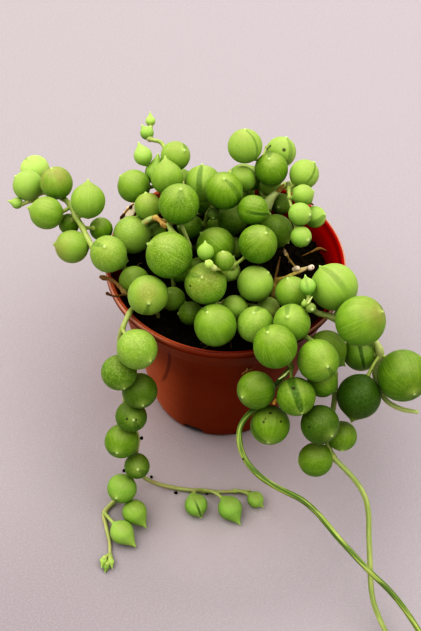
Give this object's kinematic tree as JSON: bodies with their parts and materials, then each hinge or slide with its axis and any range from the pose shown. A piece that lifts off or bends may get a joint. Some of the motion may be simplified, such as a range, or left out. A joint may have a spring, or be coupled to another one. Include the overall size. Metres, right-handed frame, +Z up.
{
  "type": "potted string of pearls",
  "caption": "Trailing string of pearls plant with round pointed leaves on thin stems, growing in a small tapered plastic nursery pot filled with soil.",
  "frame": {"origin": "centre of the pot's underside, on the surface that the pot stands on", "axes": "+Z up out of the pot, -Y towards the side where the long strands trail over the rim and along the surface"},
  "size_m": [0.1052, 0.1195, 0.0693],
  "materials": {
    "pot_plastic": "thin dark terracotta-brown plastic with a soft sheen",
    "potting_soil": "moist dark peat with pale fibres",
    "pearl_leaf": "fleshy green leaf, waxy, with pale fine lines and a translucent stripe",
    "dry_stem": "dead stem, matte and fibrous"
  },
  "bodies": {
    "root": {"pot": "pot_plastic", "soil": "potting_soil", "strand_left": "pearl_leaf", "strand_back_left": "pearl_leaf", "strand_side_left": "pearl_leaf", "strand_middle": "pearl_leaf", "strand_back_right": "pearl_leaf", "strand_upper_right": "pearl_leaf", "strand_middle_right": "pearl_leaf", "strand_centre": "pearl_leaf", "strand_inner_left": "pearl_leaf", "strand_trailing": "pearl_leaf", "strand_front": "pearl_leaf", "strand_front_right": "pearl_leaf", "strand_right": "pearl_leaf", "strand_long_right": "pearl_leaf", "strand_long_left": "pearl_leaf", "strand_behind_right": "pearl_leaf", "strand_behind_middle": "pearl_leaf", "strand_behind_left": "pearl_leaf", "strand_creeping_outer": "pearl_leaf", "strand_creeping_inner": "pearl_leaf", "dry_stem_left": "dry_stem", "dry_stem_back": "dry_stem", "dry_stem_right": "dry_stem"}
  },
  "joints": []
}
